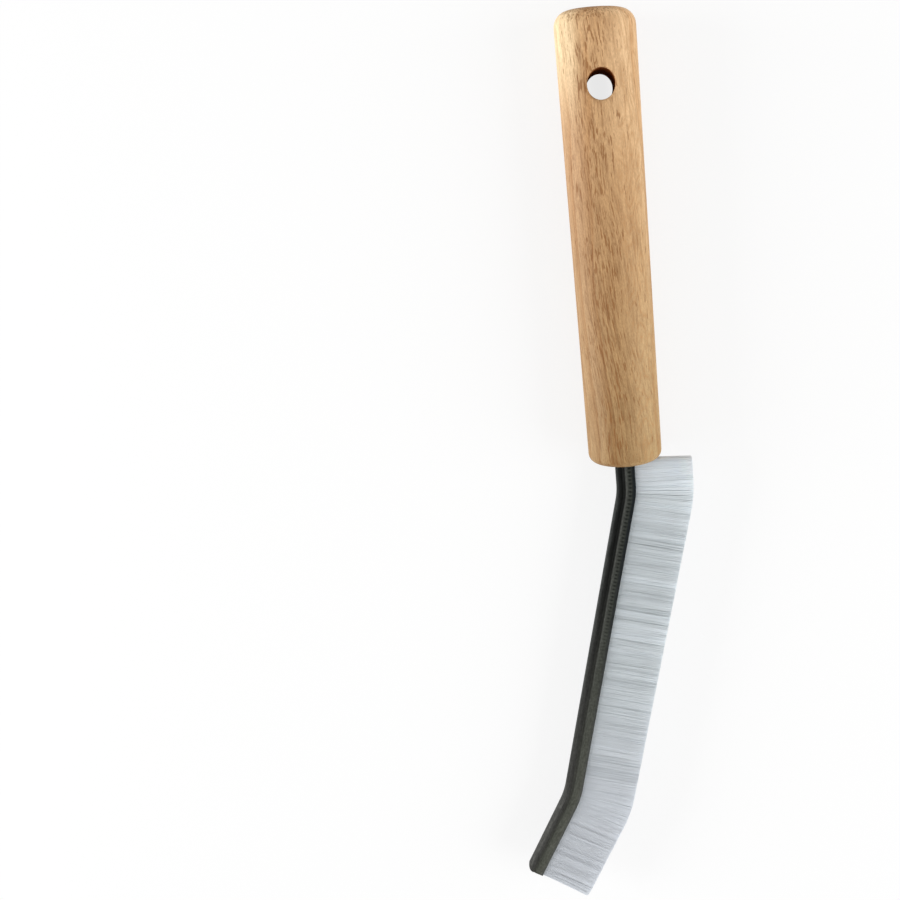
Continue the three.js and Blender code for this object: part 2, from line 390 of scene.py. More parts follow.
def beech():
    """Beech: growth bands, a painted highlight on one side at the butt with painted shade on that side
    below it, painted shade towards the nose, a darker band, fibres, short dark ray flecks and faint curls.
    """
    paint = Paint("beech", Roughness=0.6, Specular_IOR_Level=0.2)
    place = paint.place()
    sway = paint.noise(place, (0.06, 0.022, 0.06), 1.0, output="Color")
    bent = paint.moved(place, sway, (5.0, 0.0, 5.0))
    x, y, z = paint.parts(bent)
    leaning = paint.math("ADD", x, paint.math("MULTIPLY", y, GRAIN_LEAN))
    grain = paint.add("CombineXYZ", {0: leaning, 1: y, 2: z}).outputs[0]
    off_middle = paint.math("ABSOLUTE", paint.math("SUBTRACT", x, BAND_AT))
    band = paint.span(off_middle, BAND_CORE, BAND_HALF, 1.0, 0.0)

    fibre = paint.noise(grain, (1.9, 0.12, 1.9), 5.0, 0.72)
    tooth = paint.noise(grain, (4.5, 1.6, 4.5), 2.0, 0.6)
    fleck = ray_flecks(paint, place, grain, band)
    curl = broken_curls(paint, bent, x, tooth)
    start, end = [HANDLE_LENGTH - depth for depth in END_GRAIN]
    end_grain = paint.span(paint.parts(place)[1], start, end, 0.0, 0.5)

    wood = growth_bands(paint, bent)
    wood = broad_tones(paint, wood, x, y, band)
    wood = fine_tones(paint, wood, grain, band, fibre, tooth)
    wood = paint.mix(paint.math("MULTIPLY", fleck, 0.7), wood, opaque(srgb(132, 84, 40)))
    wood = paint.mix(curl, wood, opaque(srgb(170, 118, 66)))
    wood = paint.mix(end_grain, wood, opaque((0.62, 0.53, 0.45)), "MULTIPLY")
    paint.drive("Base Color", wood)
    paint.bump(paint.math("SUBTRACT", fibre, fleck), 0.3, 0.12)
    return paint.material


def growth_bands(paint, bent):
    """Cylinders round a pith well below the handle."""
    across = paint.vector("SUBTRACT", bent, PITH)
    flat = paint.vector("MULTIPLY", across, (1.0, 0.0, 1.0))
    from_pith = paint.add("VectorMath", {0: flat}, operation="LENGTH").outputs["Value"]
    year = paint.math("FRACT", paint.math("DIVIDE", from_pith, YEAR_RING))
    return paint.ramp(year, [
        (0.0, srgb(234, 198, 154)),
        (0.5, srgb(229, 191, 146)),
        (0.9, srgb(220, 178, 131)),
        (1.0, srgb(232, 195, 151)),
    ])


def broad_tones(paint, wood, x, y, band):
    """A painted highlight on one side at the butt, painted shade on that side below it, painted shade
    towards the nose with painted light at the butt, and darker along a band in the middle.
    """
    # beside picks the side of the handle that gets a painted highlight near the butt and painted shade
    # below it
    beside = paint.span(x, *PAINTED_LIGHT_SIDE, 1.0, 0.0)
    # pale is a painted highlight on that side near the butt
    pale = paint.math("MULTIPLY", beside, paint.span(y, *PAINTED_LIGHT_REACH, 0.0, 0.85))
    wood = paint.mix(pale, wood, opaque(srgb(247, 222, 181)))
    # tan is painted shade on that side, from the nose up to the painted highlight
    tan = paint.math("MULTIPLY", beside, paint.span(y, *PAINTED_LIGHT_REACH, 1.0, 0.0))
    wood = paint.mix(tan, wood, opaque((0.86, 0.82, 0.84)), "MULTIPLY")
    # Painted shade, darker towards the nose, and painted light above the wood's colour near the butt
    painted_shade_along_handle = paint.ramp(paint.math("DIVIDE", y, HANDLE_LENGTH), [
        (0.0, (0.66, 0.67, 0.58)),
        (0.6, (0.88, 0.86, 0.82)),
        (0.95, (1.10, 1.10, 1.10)),
    ])
    wood = paint.mix(1.0, wood, painted_shade_along_handle, "MULTIPLY")
    return paint.mix(paint.math("MULTIPLY", band, 0.85), wood, opaque((0.69, 0.61, 0.53)), "MULTIPLY")


def fine_tones(paint, wood, grain, band, fibre, tooth):
    """Soft streaks, fibres that show most in the band, and a fine tooth."""
    broad = paint.noise(grain, (0.5, 0.045, 0.5), 2.0)
    cloud = paint.ramp(broad, [(0.34, (0.74, 0.68, 0.62)), (0.62, (1.0, 1.0, 1.0))])
    wood = paint.mix(0.5, wood, cloud, "MULTIPLY")
    shade = paint.ramp(fibre, [
        (0.32, (0.46, 0.36, 0.27)),
        (0.54, (1.0, 1.0, 1.0)),
        (0.7, (1.12, 1.11, 1.08)),
    ])
    wood = paint.mix(paint.span(band, 0.0, 1.0, 0.5, 0.8), wood, shade, "MULTIPLY")
    speck = paint.ramp(tooth, [(0.3, (0.80, 0.77, 0.73)), (0.7, (1.14, 1.14, 1.13))])
    return paint.mix(0.7, wood, speck, "MULTIPLY")


def ray_flecks(paint, place, grain, band):
    """Thin dark dashes, crowded in the band and sparse beside it."""
    dash = paint.noise(grain, (3.0, 0.27, 3.0), 2.0)
    crowd = paint.noise(place, (0.25, 0.08, 0.25), 1.0)
    packed = paint.math("ADD", paint.math("MULTIPLY", band, 0.55), crowd)
    edge = paint.span(packed, 0.35, 1.15, 0.655, 0.53)
    return paint.span(paint.math("SUBTRACT", dash, edge), 0.0, 0.07)


def broken_curls(paint, bent, x, tooth):
    """Faint curls on one side of the band, broken up by the tooth."""
    swirl = paint.noise(bent, (0.34, 0.11, 0.34), 0.0)
    turn = paint.math("FRACT", paint.math("MULTIPLY", swirl, CURLS))
    line = paint.span(paint.math("ABSOLUTE", paint.math("SUBTRACT", turn, 0.5)), 0.0, 0.34, 1.0, 0.0)
    broken = paint.math("MULTIPLY", paint.span(tooth, 0.4, 0.58), paint.span(x, *CURL_SIDE, 0.0, 0.5))
    return paint.math("MULTIPLY", line, broken)


def painted_shade_and_scorched_bore():
    """Drilled beech, turned brown by the drill and darkened with painted shade inside the hanging hole,
    with faint rings round the bore.
    """
    paint = Paint("painted_shade_and_scorched_bore", Roughness=0.9, Specular_IOR_Level=0.0)
    turn_marks = paint.noise(paint.place(), (0.3, 0.3, 3.0), 3.0)
    # Dark brown: partly scorch from the drill, partly painted shade inside the hole
    paint.drive("Base Color", paint.ramp(turn_marks, [(0.3, srgb(128, 70, 32)), (0.7, srgb(164, 98, 52))]))
    paint.bump(turn_marks, 0.4, 0.15)
    return paint.material


def dark_steel():
    """Dark drawn steel: black at the neck, greyer to the tip, with streaks, grime and dimples. A painted
    highlight runs along the middle of the round back, and near the neck another at the lip's start and a
    painted dark reflection along the lip's edge; the dimples are darkened with painted shade.
    """
    paint = Paint("dark_steel", Metallic=0.9, Specular_Tint=opaque((0.45, 0.45, 0.45)))
    spot = paint.kept("strip", "Vector")
    run, height = paint.parts(spot)[:2]
    length = paint.math("DIVIDE", paint.math("SUBTRACT", run, TANG_LENGTH), STRIP_END - TANG_LENGTH)
    level = paint.math("DIVIDE", paint.math("ADD", height, MOUTH), 2 * MOUTH)
    # Across the section near the neck: a painted highlight at the back (0), the dark bulb, a painted
    # highlight at the lip's start (0.52), the lip band, and a painted dark reflection along the lip's edge
    # (0.86 to 1)
    neck = paint.ramp(level, [
        (0.0, srgb(96, 98, 97)),
        (0.06, srgb(50, 52, 51)),
        (0.14, srgb(17, 18, 17)),
        (0.44, srgb(15, 16, 15)),
        (0.52, srgb(80, 81, 78)),
        (0.58, srgb(64, 66, 62)),
        (0.78, srgb(54, 57, 53)),
        (0.86, srgb(32, 35, 36)),
        (1.0, srgb(24, 27, 30)),
    ])
    # Across the section near the tip: a painted highlight at the back (0), then the bulb and a paler lip
    tip = paint.ramp(level, [
        (0.0, srgb(92, 92, 90)),
        (0.08, srgb(58, 58, 56)),
        (0.28, srgb(62, 62, 60)),
        (0.44, srgb(62, 63, 58)),
        (0.6, srgb(80, 82, 75)),
        (0.8, srgb(84, 85, 78)),
        (1.0, srgb(82, 84, 81)),
    ])
    on_lip = paint.span(level, 0.42, 0.56)
    back_share = paint.span(length, 0.1, 1.0)
    lip_share = paint.span(length, 0.1, 0.95)
    share = paint.add("Mix", {0: on_lip, 2: back_share, 3: lip_share}).outputs[0]
    steel = paint.mix(share, neck, tip)
    # Painted shade in the dimples
    steel = paint.mix(paint.kept("pressed"), steel, opaque(srgb(12, 14, 13)))
    streak = paint.noise(spot, (0.3, 7.0, 3.0), 4.0, 0.65)
    shade = paint.ramp(streak, [(0.3, (0.62, 0.62, 0.62)), (0.7, (1.3, 1.3, 1.3))])
    steel = paint.mix(0.8, steel, shade, "MULTIPLY")
    grime = paint.noise(spot, (1.3, 2.2, 2.0), 4.0, 0.65)
    dull = paint.ramp(grime, [(0.3, (0.62, 0.62, 0.60)), (0.7, (1.36, 1.36, 1.36))])
    paint.drive("Base Color", paint.mix(0.75, steel, dull, "MULTIPLY"))
    cloud = paint.noise(spot, (0.4, 1.2, 1.0), 3.0)
    paint.drive("Roughness", paint.span(cloud, 0.3, 0.7, 0.42, 0.6))
    paint.bump(streak, 0.2, 0.06)
    return paint.material


def nylon():
    """Pale nylon: each strand has its own tone, with painted shade towards its root and painted light at
    its cut end.
    """
    paint = Paint(
        "nylon",
        Roughness=0.42,
        Specular_IOR_Level=0.4,
        Subsurface_Weight=0.6,
        Subsurface_Scale=0.6 * MM,
        Subsurface_Radius=(1.0, 1.0, 1.0),
    )
    colour = paint.ramp(paint.kept("tone"), [
        (0.0, srgb(181, 189, 193)),
        (0.35, srgb(208, 216, 220)),
        (0.65, srgb(220, 228, 232)),
        (1.0, srgb(239, 248, 255)),
    ])
    # rise is painted shade towards the roots and painted light at the cut ends
    rise = paint.ramp(paint.kept("reach"), [
        (0.0, (0.82, 0.82, 0.82)),
        (0.15, (0.88, 0.88, 0.88)),
        (0.4, (0.96, 0.96, 0.96)),
        (0.75, (1.0, 1.0, 1.0)),
        (1.0, (1.14, 1.14, 1.14)),
    ])
    colour = paint.mix(1.0, colour, rise, "MULTIPLY")
    beyond = paint.span(paint.parts(paint.place())[1], *TINT_REACH)
    tint = paint.mix(beyond, opaque((0.965, 0.938, 0.968)), opaque((1.0, 1.0, 1.0)))
    paint.drive("Base Color", paint.mix(1.0, colour, tint, "MULTIPLY"))
    return paint.material


def bright_wire():
    """Drawn wire with fine lines and dull patches."""
    paint = Paint("bright_wire", Metallic=1.0)
    line = paint.noise(paint.place(), (6.0, 0.4, 6.0), 2.0)
    paint.drive("Base Color", paint.ramp(line, [(0.3, srgb(120, 122, 123)), (0.7, srgb(168, 170, 172))]))
    paint.drive("Roughness", paint.span(line, 0.3, 0.7, 0.25, 0.45))
    return paint.material


def resin():
    """Set adhesive: cloudy amber with small bubbles."""
    paint = Paint("resin", Roughness=0.3, Specular_IOR_Level=0.5)
    place = paint.place()
    cloud = paint.noise(place, (0.8, 0.8, 0.8), 3.0)
    bubble = paint.span(paint.cells(place, 2.2), 0.1, 0.25, 0.5, 0.0)
    amber = paint.ramp(cloud, [(0.3, srgb(150, 122, 74)), (0.7, srgb(196, 172, 120))])
    paint.drive("Base Color", paint.mix(bubble, amber, opaque(srgb(222, 206, 168))))
    paint.bump(cloud, 0.3, 0.2)
    return paint.material


# Handle
def handle_radius(y):
    return HANDLE_RADIUS - NOSE_TAPER * (1 - y / (HANDLE_LENGTH - BUTT_ROUNDING))


def slanted(x, y):
    """The butt isn't quite square: heights near it lean a little."""
    start = HOLE_Y + HOLE_WINDOW
    share = np.clip((y - start) / (HANDLE_LENGTH - BUTT_ROUNDING - start), 0, 1)
    return y + x * math.tan(BUTT_SLANT) * share


def fillet(size, y, outwards):
    """Height and radius down a rounded end, from the barrel to the end face."""
    centre = handle_radius(y) - size
    turns = np.linspace(0, math.pi / 2, FILLET_ROWS + 1)[1:]
    return [(y + outwards * size * math.sin(a), centre + size * math.cos(a)) for a in turns]


def handle_profile():
    """Height and radius of each ring from nose to butt, and the two rings that bound the hole's windows."""
    butt = HANDLE_LENGTH - BUTT_ROUNDING
    low, high = HOLE_Y - HOLE_WINDOW, HOLE_Y + HOLE_WINDOW
    rows = fillet(NOSE_ROUNDING, NOSE_ROUNDING, -1)[::-1]
    rows += [(y, handle_radius(y)) for y in np.linspace(NOSE_ROUNDING, low, BARREL_ROWS)]
    first = len(rows) - 1
    rows += [(y, handle_radius(y)) for y in np.linspace(low, high, WINDOW_ROWS + 1)[1:]]
    last = len(rows) - 1
    rows += [(y, handle_radius(y)) for y in np.linspace(high, butt, BUTT_ROWS + 1)[1:]]
    rows += fillet(BUTT_ROUNDING, butt, 1)
    return rows, first, last


def circle(radius, y, centre=0.0):
    turns = np.arange(SIDES) * 2 * math.pi / SIDES
    around = [(centre + radius * math.cos(a), radius * math.sin(a)) for a in turns]
    return [(x, slanted(x, y), z) for x, z in around]


def window_rings(shell, border, side):
    """Rings from a window's border in the barrel to the hanging hole's rounded rim."""
    start = np.array([shell.points[i] for i in border])
    middle = HOLE_FRONT if side > 0 else HOLE_BACK
    away = start[:, :2] - middle
    unit = away / np.linalg.norm(away, axis=1, keepdims=True)
    rim = middle + (HOLE_HALF + HOLE_ROUNDING) * unit
    plans = []
    for k in range(1, WINDOW_RINGS + 1):
        share = k / WINDOW_RINGS
        plans.append(((1 - share) * start[:, :2] + share * rim, 0.0))
    for a in np.linspace(0, math.pi / 2, RIM_RINGS + 1)[1:]:
        reach = HOLE_HALF + HOLE_ROUNDING * (1 - math.sin(a))
        plans.append((middle + reach * unit, HOLE_ROUNDING * (1 - math.cos(a))))
    rings = [border]
    for plan, depth in plans:
        surface = np.sqrt(handle_radius(plan[:, 1]) ** 2 - plan[:, 0] ** 2)
        rings.append(shell.ring(np.column_stack([plan, side * (surface - depth)])))
    shell.stack(rings)
    return rings[-1]


def barrel(shell):
    """The turned surface with a square window on each side for the hanging hole."""
    rows, first, last = handle_profile()
    known = {}

    def at(row, column):
        key = (row, column % SIDES)
        if key not in known:
            y, radius = rows[row]
            turn = 2 * math.pi * key[1] / SIDES
            known[key] = len(shell.points)
            x = radius * math.cos(turn)
            shell.points.append((x, slanted(x, y), radius * math.sin(turn)))
        return known[key]

    def in_window(row, column):
        beside = min(abs(column + 0.5 - c) for c in (FRONT_COLUMN, BACK_COLUMN))
        return first <= row < last and beside < WINDOW_COLUMNS

    for row in range(len(rows) - 1):
        for column in range(SIDES):
            if not in_window(row, column):
                lower = (at(row, column), at(row, column + 1))
                upper = (at(row + 1, column + 1), at(row + 1, column))
                shell.faces.append(lower + upper)

    ends = []
    for middle, step, side in ((FRONT_COLUMN, -1, 1), (BACK_COLUMN, 1, -1)):
        columns = [middle + step * k for k in range(-WINDOW_COLUMNS, WINDOW_COLUMNS + 1)]
        border = [at(first, c) for c in columns[:-1]]
        border += [at(r, columns[-1]) for r in range(first, last)]
        border += [at(last, c) for c in columns[:0:-1]]
        border += [at(r, columns[0]) for r in range(last, first, -1)]
        ends.append(window_rings(shell, border, side))
    nose = [at(0, c) for c in range(SIDES)]
    butt = [at(len(rows) - 1, c) for c in range(SIDES)]
    return nose, butt, ends, rows


def bore_wall(shell, front, back):
    near = np.array([shell.points[i] for i in front])
    far = np.array([shell.points[i] for i in back])
    rings = [front]
    for share in np.linspace(0, 1, BORE_RINGS + 2)[1:-1]:
        rings.append(shell.ring((1 - share) * near + share * far))
    shell.stack(rings + [back])


def make_handle():
    shell = Shell()
    nose, butt, (front, back), rows = barrel(shell)
    outside_faces = len(shell.faces)
    bore_wall(shell, front, back)
    bore_faces = len(shell.faces)

    end_radius = rows[-1][1]
    rings = [butt] + [shell.ring(circle(end_radius * share, HANDLE_LENGTH)) for share in BUTT_RINGS]
    shell.stack(rings)
    shell.fan(rings[-1], (0, HANDLE_LENGTH, 0))

    # Nose face, the socket's chamfered edge, its wall and the drill's point
    lip = SOCKET_RADIUS + SOCKET_CHAMFER
    rings = [nose]
    for share in NOSE_RINGS:
        radius = (1 - share) * rows[0][1] + share * lip
        rings.append(shell.ring(circle(radius, 0, -STRIP_SETBACK * share)))
    for y in np.linspace(SOCKET_CHAMFER, SOCKET_DEPTH, SOCKET_ROWS):
        rings.append(shell.ring(circle(SOCKET_RADIUS, y, -STRIP_SETBACK)))
    shell.stack(rings)
    point = SOCKET_DEPTH + SOCKET_RADIUS / math.tan(DRILL_POINT / 2)
    shell.fan(rings[-1], (-STRIP_SETBACK, point, 0))

    piece = add_piece("turned_handle", shell, beech(), sharp=40)
    # The hanging hole's wall gets scorched wood darkened with painted shade
    piece.data.materials.append(painted_shade_and_scorched_bore())
    for face in piece.data.polygons[outside_faces:bore_faces]:
        face.material_index = 1
    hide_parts("handle")


# Strip
def strip_line(distance):
    """Points on the strip's line at an array of distances, and the way the bristles point there."""
    left = np.array(distance, float)
    x = np.full_like(left, -STRIP_SETBACK)
    y = np.full_like(left, TANG_LENGTH)
    heading = np.zeros_like(left)
    for length, turn in RUNS:
        step = np.clip(left, 0, length)
        after = heading + turn * step / length
        if turn:
            x += length / turn * (np.cos(after) - np.cos(heading))
            y -= length / turn * (np.sin(after) - np.sin(heading))
        else:
            x -= step * np.sin(heading)
            y -= step * np.cos(heading)
        heading = after
        left = left - step
    flat = np.zeros_like(x)
    point = np.stack([x, y, flat], -1)
    along = np.stack([-np.sin(heading), -np.cos(heading), flat], -1)
    out = np.stack([np.cos(heading), -np.sin(heading), flat], -1)
    return point, along, out


def sweep(shell, distances, loops):
    """Joins sections along the strip's line. Their points are (height towards the mouth, thickness)."""
    point, _, out = strip_line(distances)
    rings = []
    for p, o, loop in zip(point, out, loops):
        ring = p + loop[:, :1] * o
        ring[:, 2] += loop[:, 1]
        rings.append(shell.ring(ring))
    shell.stack(rings)
    shell.faces.append(tuple(rings[0][::-1]))
    shell.faces.append(tuple(rings[-1]))


def arc(centre, radius, start, end, steps):
    turns = np.radians(np.linspace(start, end, steps))
    return np.column_stack([centre[0] + radius * np.sin(turns), centre[1] + radius * np.cos(turns)])


def outer_half():
    """The channel's outside from its open edge to the middle of its round back."""
    edge = arc((MOUTH - LIP_EDGE, LIP_HALF - LIP_EDGE), LIP_EDGE, 90, 0, EDGE_POINTS)
    lip_end = GROOVE_AT + GROOVE_HALF
    heights = np.linspace(MOUTH - LIP_EDGE, lip_end, LIP_POINTS)[1:]
    lip = np.column_stack([heights, np.full_like(heights, LIP_HALF)])
    share = np.linspace(0, 1, GROOVE_POINTS)[1:]
    surface = np.interp(share, [0, 1], [LIP_HALF, BULB_RADIUS])
    sunk = GROOVE_DEPTH * np.sin(math.pi * share) ** 2
    groove = np.column_stack([lip_end - 2 * GROOVE_HALF * share, surface - sunk])
    start = math.degrees(math.asin((groove[-1, 0] - WIRE_AT) / BULB_RADIUS))
    bulb = arc((WIRE_AT, 0), BULB_RADIUS, start, -90, BULB_POINTS)[1:]
    bulb[-1, 1] = 0
    return np.concatenate([edge, lip, groove, bulb])


def inner_half():
    """The channel's inside from its open edge to the middle of its back."""
    deep, wide = MOUTH_CHAMFER
    edge = np.array([[MOUTH, CAVITY_HALF + wide], [MOUTH - deep, CAVITY_HALF]])
    cavity = arc((WIRE_AT, 0), CAVITY_HALF, 0, -90, CAVITY_POINTS)
    cavity[-1, 1] = 0
    return np.concatenate([edge, cavity])


def mirrored(half):
    return half[-2::-1] * (1, -1)


def crimped(half, distance):
    """Presses a row of small dimples into the lip, fading out along the strip."""
    pressed = half.copy()
    pressed[:, 1] -= CRIMP_DEPTH * crimp_share(half[:, 0], distance)
    return pressed


def crimp_share(heights, distance):
    """How far each height is pressed in at a distance along the strip, from 0 to 1."""
    reach = np.clip(1 - np.abs(heights - CRIMP_AT) / CRIMP_HALF, 0, 1)
    row = (0.5 + 0.5 * math.cos(2 * math.pi * distance / CRIMP_PITCH)) ** 2
    share = (distance - TANG_LENGTH) / (STRIP_END - TANG_LENGTH)
    return np.interp(share, *CRIMP_FADE) * row * reach ** CRIMP_CURVE


def rounded_back(half, distance, wall):
    """Draws the back in where the far end's corner is rounded off."""
    past = distance - (STRIP_END - TIP_ROUNDING)
    if past <= 0:
        return half
    limit = -MOUTH + TIP_ROUNDING - math.sqrt(max(TIP_ROUNDING ** 2 - past ** 2, 0))
    return np.column_stack([np.maximum(half[:, 0], limit + wall), half[:, 1]])


def channel_loop(distance, inset=0.0):
    """The channel's section at a distance along the strip, drawn in by the inset."""
    outside = rounded_back(crimped(outer_half(), distance), distance, 0.0)
    inside = rounded_back(inner_half(), distance, WALL)
    loop = np.concatenate([outside, mirrored(outside), (inside * (1, -1)), inside[-2::-1]])
    if inset:
        ahead, behind = np.roll(loop, -1, 0), np.roll(loop, 1, 0)
        way = ahead - behind
        normal = np.column_stack([way[:, 1], -way[:, 0]])
        normal /= np.linalg.norm(normal, axis=1, keepdims=True)
        loop = loop + inset * normal
    return loop


def make_channel():
    shell = Shell()
    shown = np.arange(FINE_START, STRIP_END - END_BEVEL, CRIMP_PITCH / CRIMP_STEPS)
    distances = np.concatenate([[0.0, TANG_LENGTH / 2], shown, [STRIP_END - END_BEVEL]])
    loops = [channel_loop(d) for d in distances]
    distances = np.append(distances, STRIP_END)
    loops.append(channel_loop(STRIP_END, END_BEVEL / 2))
    sweep(shell, distances, loops)
    piece = add_piece("folded_channel", shell, dark_steel(), sharp=45)
    spots = []
    dimples = []
    for distance, loop in zip(distances, loops):
        spots.append(np.column_stack([np.full(len(loop), distance), loop]))
        outside = np.abs(loop[:, 1]) > CRIMP_OUTSIDE
        dimples.append(crimp_share(loop[:, 0], distance) * outside)
    keep_values(piece, "strip", np.concatenate(spots))
    keep_values(piece, "pressed", np.concatenate(dimples))
    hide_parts("strip_channel")


def make_wire():
    shell = Shell()
    end = STRIP_END - WIRE_RECESS
    distances = np.concatenate([[0.0], np.arange(TANG_LENGTH, end, WIRE_STEP), [end]])
    section = arc((WIRE_AT, 0), WIRE_RADIUS, 0, 360, WIRE_SIDES + 1)[:-1]
    sweep(shell, distances, [section] * len(distances))
    piece = add_piece("drawn_wire", shell, bright_wire(), sharp=45)
    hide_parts("core_wire")


def make_adhesive():
    """A ring of adhesive that climbs a little at the socket's wall and at the strip."""
    shell = Shell()
    turns = np.arange(SIDES) * 2 * math.pi / SIDES
    unit = np.stack([np.cos(turns), np.sin(turns)], 1)
    box = np.abs(unit) / (np.array([MOUTH, BULB_RADIUS]) - ADHESIVE_BITE)
    inner = unit / (box ** ADHESIVE_SQUARENESS).sum(1, keepdims=True) ** (1 / ADHESIVE_SQUARENESS)
    outer = unit * SOCKET_RADIUS
    rings = [shell.ring(circle(SOCKET_RADIUS, ADHESIVE_TOP, -STRIP_SETBACK))]
    for share in np.linspace(0, 1, ADHESIVE_RINGS):
        plan = (1 - share) * outer + share * inner - (STRIP_SETBACK, 0)
        climb = ADHESIVE_CLIMB * abs(2 * share - 1) ** 3
        y = np.full(SIDES, ADHESIVE_RECESS * (1 - climb))
        rings.append(shell.ring(np.column_stack([plan[:, 0], y, plan[:, 1]])))
    deep = inner - (STRIP_SETBACK, 0)
    rings.append(shell.ring(np.column_stack([deep[:, 0], np.full(SIDES, TANG_LENGTH), deep[:, 1]])))
    shell.stack(rings)
    shell.fan(rings[0], (-STRIP_SETBACK, ADHESIVE_TOP, 0))
    shell.fan(rings[-1], (-STRIP_SETBACK, TANG_LENGTH, 0))
    piece = add_piece("set_adhesive", shell, resin(), sharp=50)
    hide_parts("socket_adhesive")


# Bristles
def clumps(rng, narrow, wide):
    """Borders and middles of the clumps that strands gather in, and four traits of each clump."""
    borders = [FIRST_FOOT - 1]
    while borders[-1] < LAST_FOOT + 1:
        borders.append(borders[-1] + rng.uniform(narrow, wide))
    borders = np.array(borders)
    return borders, (borders[:-1] + borders[1:]) / 2, rng.normal(0, 1, (4, len(borders) - 1))


def strand_plan(rng):
    """One row of numbers for each strand: where it stands, how it leans and how pale it is."""
    columns = int((LAST_FOOT - FIRST_FOOT) / STRAND_PITCH)
    half = CAVITY_HALF - STRAND_RADIUS - STRAND_GAP
    borders, middles, traits = clumps(rng, *CLUMP_WIDTH)
    plans = []
    for row in range(STRAND_ROWS):
        shift = (row % 2) / 2
        step = np.arange(columns) + shift + rng.uniform(-FOOT_STRAY, FOOT_STRAY, columns)
        foot = np.clip(FIRST_FOOT + step * STRAND_PITCH, FIRST_FOOT, LAST_FOOT)
        depth = half * (2 * row / (STRAND_ROWS - 1) - 1) + rng.normal(0, DEPTH_STRAY, columns)
        which = np.searchsorted(borders, foot) - 1
        fine_borders, fine_middles, fine_traits = clumps(rng, *FINE_WIDTH)
        fine = np.searchsorted(fine_borders, foot) - 1
        calm = np.interp(foot, CALM_STOPS, CALM_SHARES)
        lean = LEAN_STRAY[0] * np.interp(foot, middles, traits[1])
        lean += LEAN_STRAY[1] * np.interp(foot, fine_middles, fine_traits[1])
        lean -= CLUMP_DRAW * np.abs(traits[0, which]) * (foot - middles[which])
        lean += rng.normal(0, LEAN_STRAY[2], columns)
        sway = SWAY_STRAY[0] * traits[2, which] + SWAY_STRAY[1] * fine_traits[2, fine]
        clump_tone = TONE_STRAY[0] * traits[3, which] + TONE_STRAY[1] * fine_traits[3, fine]
        # Painted light on the first strands, where the handle's shadow falls
        painted_neck_light = NECK_PAINTED_LIGHT * np.clip(1 - (foot - FIRST_FOOT) / NECK_PAINTED_LIGHT_LENGTH, 0, 1)
        cut = CORNER_CUT * np.clip((foot - LAST_FOOT + CORNER_LENGTH) / CORNER_LENGTH, 0, 1) ** 2
        plans.append({
            "foot": foot,
            "depth": np.clip(depth, -half, half),
            "lean": lean * calm + end_lean(foot),
            "sway": sway + rng.normal(0, SWAY_STRAY[2], columns),
            "reach": BRISTLE_LENGTH - np.abs(rng.normal(0, REACH_STRAY, columns)) - cut,
            "bow": rng.normal(0, BOW_STRAY, columns),
            "tone": MEAN_TONE + painted_neck_light + calm * clump_tone + rng.normal(0, TONE_STRAY[2], columns),
        })
    return {key: np.concatenate([plan[key] for plan in plans]) for key in plans[0]}


def end_lean(foot):
    """The first strands are pushed down by the handle, and the last ones spread past the strip's end."""
    top = np.clip(1 - (foot - FIRST_FOOT) / TOP_LEAN_LENGTH, 0, 1) ** 2
    bottom = np.clip((foot - LAST_FOOT + END_LEAN_LENGTH) / END_LEAN_LENGTH, 0, 1) ** 2
    return TOP_LEAN * top + END_LEAN * bottom


def strand_points(plan):
    """Corner points of the strands, as strand by stop by side by 3."""
    point, along, out = strip_line(plan["foot"])
    up = np.array([0.0, 0.0, 1.0])
    stops = np.array(STRAND_STOPS)
    whole = plan["reach"] + STRAND_ROOT
    height = MOUTH - STRAND_ROOT + whole[:, None] * stops
    free = np.clip((height - MOUTH) / BRISTLE_LENGTH, 0, 1)
    drift = plan["lean"][:, None] * free ** LEAN_CURVE + plan["bow"][:, None] * np.sin(math.pi * free)
    flare = 1 + (STRAND_FLARE - 1) * free
    rise = plan["depth"][:, None] * flare + plan["sway"][:, None] * free ** SWAY_CURVE
    centre = point[:, None] + height[..., None] * out[:, None] + drift[..., None] * along[:, None]
    centre = centre + rise[..., None] * up
    turns = np.arange(STRAND_SIDES) * 2 * math.pi / STRAND_SIDES
    radius = STRAND_RADIUS * np.interp(stops, [0, 1], [1.0, STRAND_TAPER])
    radius = radius * (1 + FAN_FILL * fan_out(plan["foot"])[:, None] * height)
    ring = np.cos(turns)[:, None] * up + np.sin(turns)[:, None] * along[:, None]
    return centre[:, :, None] + radius[..., None, None] * ring[:, None]


def fan_out(foot):
    """How fast neighbouring strands part with height, round the strip's bends and at its end."""
    past = np.clip((foot - STRIP_END + END_LEAN_LENGTH) / END_LEAN_LENGTH, 0, 1)
    parting = 2 * END_LEAN * past / END_LEAN_LENGTH / BRISTLE_LENGTH
    for end, (length, turn) in zip(RUN_ENDS, RUNS):
        parting += np.where((foot >= end - length) & (foot < end), turn / length, 0)
    return parting


def add_strands(shell, corners):
    """Adds tubes with closed ends and returns how many points each strand has."""
    first = len(shell.points)
    count, stops, sides = corners.shape[:3]
    shell.points.extend(map(tuple, corners.reshape(-1, 3)))
    for strand in range(count):
        base = first + strand * stops * sides
        rings = [list(range(base + k * sides, base + (k + 1) * sides)) for k in range(stops)]
        shell.stack(rings)
        shell.faces.append(tuple(rings[0][::-1]))
        shell.faces.append(tuple(rings[-1]))
    return stops * sides


